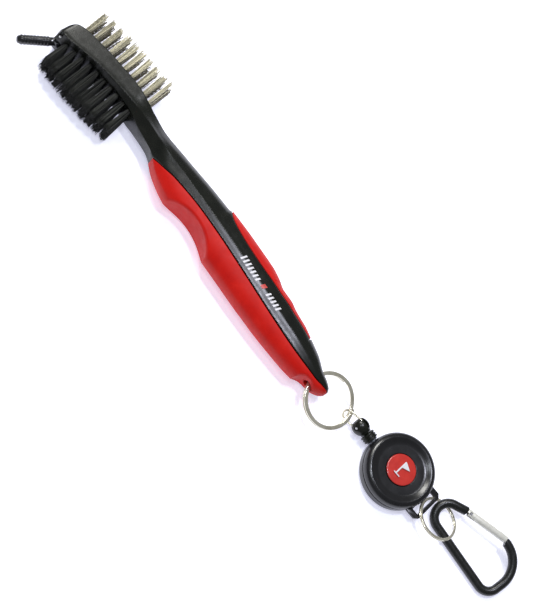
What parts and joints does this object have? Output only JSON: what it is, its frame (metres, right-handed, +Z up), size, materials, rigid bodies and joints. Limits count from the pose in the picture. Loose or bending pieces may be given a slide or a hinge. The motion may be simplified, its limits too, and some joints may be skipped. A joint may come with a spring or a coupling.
{
  "type": "club groove brush",
  "caption": "Two-sided groove brush with nylon and brass tufts, a folding pick, soft grips, and a retractable cord reel that hangs from a small carabiner.",
  "frame": {"origin": "bottom centre of the bounding box, on the surface that the brush lies on", "axes": "+X from the pick and head towards the carabiner, +Y towards the brass tufts, +Z up"},
  "size_m": [0.3025, 0.0419, 0.0166],
  "materials": {
    "black_plastic": "satin moulded polypropylene",
    "gloss_black": "polished moulded plastic",
    "red_grip": "satin soft-touch elastomer",
    "black_nylon": "drawn nylon filament",
    "brass_wire": "drawn fine wire",
    "pick_black": "polished, ribbed",
    "steel_ring": "nickel plated",
    "steel_pin": "ground",
    "spring_steel": "blued strip",
    "black_anodised": "black, semi-gloss",
    "silver_gate": "satin",
    "white_plastic": "moulded",
    "cord": "braided nylon",
    "badge_red": "printed under clear varnish",
    "badge_white": "raised print"
  },
  "bodies": {
    "brush": {"handle_core": "black_plastic", "grip_main": "red_grip", "grip_pad": "red_grip", "pick_pin": "steel_pin", "nylon_tufts_1": "black_nylon", "nylon_tufts_2": "black_nylon", "nylon_tufts_3": "black_nylon", "nylon_tufts_4": "black_nylon", "nylon_tufts_5": "black_nylon", "nylon_tufts_6": "black_nylon", "nylon_tufts_7": "black_nylon", "nylon_tufts_8": "black_nylon", "nylon_tufts_9": "black_nylon", "nylon_tufts_10": "black_nylon", "brass_tufts_1": "brass_wire", "brass_tufts_2": "brass_wire", "brass_tufts_3": "brass_wire", "brass_tufts_4": "brass_wire", "brass_tufts_5": "brass_wire", "brass_tufts_6": "brass_wire", "brass_tufts_7": "brass_wire", "brass_tufts_8": "brass_wire", "brass_tufts_9": "brass_wire", "brass_tufts_10": "brass_wire"},
    "pick_arm": {"pick": "pick_black"},
    "key_ring_body": {"key_ring": "steel_ring"},
    "link_body": {"wire_link": "steel_ring"},
    "fork_body": {"swivel_fork": "black_plastic", "fork_pin": "steel_pin"},
    "cord_end": {"cord_stop": "black_plastic", "cord_lead": "cord"},
    "reel": {"reel_back_shell": "gloss_black", "reel_front_shell": "gloss_black", "reel_nozzle": "spring_steel", "reel_badge": "badge_red", "badge_flag": "badge_white", "spool_axle": "steel_pin"},
    "spool_body": {"spool": "white_plastic", "wound_cord": "cord", "mainspring": "spring_steel"},
    "small_ring_body": {"small_ring": "steel_ring"},
    "carabiner": {"carabiner_body": "black_anodised", "gate_pin": "steel_pin"},
    "gate_body": {"gate": "silver_gate", "gate_plunger": "spring_steel"}
  },
  "joints": [
    {"name": "pick_fold", "type": "hinge", "parent": "brush", "child": "pick_arm", "pos_m": [-0.14046, -0.00661, 0.0083], "axis": [0, 0, 1], "range_deg": [-58, 12]},
    {"name": "key_ring_swing", "type": "hinge", "parent": "brush", "child": "key_ring_body", "pos_m": [0.03354, -0.00946, 0.0083], "axis": [0, 1, 0], "range_deg": [-75, 60]},
    {"name": "link_swing", "type": "hinge", "parent": "key_ring_body", "child": "link_body", "pos_m": [0.05459, -0.00464, 0.00355], "axis": [-0.3339, 0.9397, 0.074], "range_deg": [-35, 35]},
    {"name": "fork_swing", "type": "hinge", "parent": "link_body", "child": "fork_body", "pos_m": [0.06015, -0.00399, 0.0046], "axis": [0.0272, -0.8656, 0.5], "range_deg": [-35, 35]},
    {"name": "fork_swivel", "type": "hinge", "parent": "fork_body", "child": "cord_end", "pos_m": [0.06015, -0.00399, 0.0046], "axis": [0.9995, 0.0314, 0], "continuous": true},
    {"name": "cord_pull", "type": "slide", "parent": "cord_end", "child": "reel", "axis": [0.9995, 0.0314, 0], "range_m": [0, 0.6], "stiffness_N_per_m": 1, "springref_m": -1.2},
    {"name": "spool_spin", "type": "hinge", "parent": "reel", "child": "spool_body", "pos_m": [0.08494, -0.00321, 0.0046], "axis": [0, 0, 1], "range_deg": [0, 3700]},
    {"name": "small_ring_swing", "type": "hinge", "parent": "reel", "child": "small_ring_body", "pos_m": [0.10438, -0.0026, 0.0041], "axis": [-0.0314, 0.9995, 0], "range_deg": [-50, 15]},
    {"name": "carabiner_swing", "type": "hinge", "parent": "small_ring_body", "child": "carabiner", "pos_m": [0.1192, -0.0055, 0.0035], "axis": [0.0602, 0.9735, 0.2207], "range_deg": [0, 60]},
    {"name": "gate_open", "type": "hinge", "parent": "carabiner", "child": "gate_body", "pos_m": [0.1184, 0.0109, 0.00534], "axis": [-0.0133, -0.2246, 0.9744], "range_deg": [-28, 0], "stiffness_Nm_per_rad": 0.02, "springref_deg": 34.38}
  ],
  "couplings": [
    {"joint": "spool_spin", "follows": "cord_pull", "rad_per_m": 105}
  ]
}
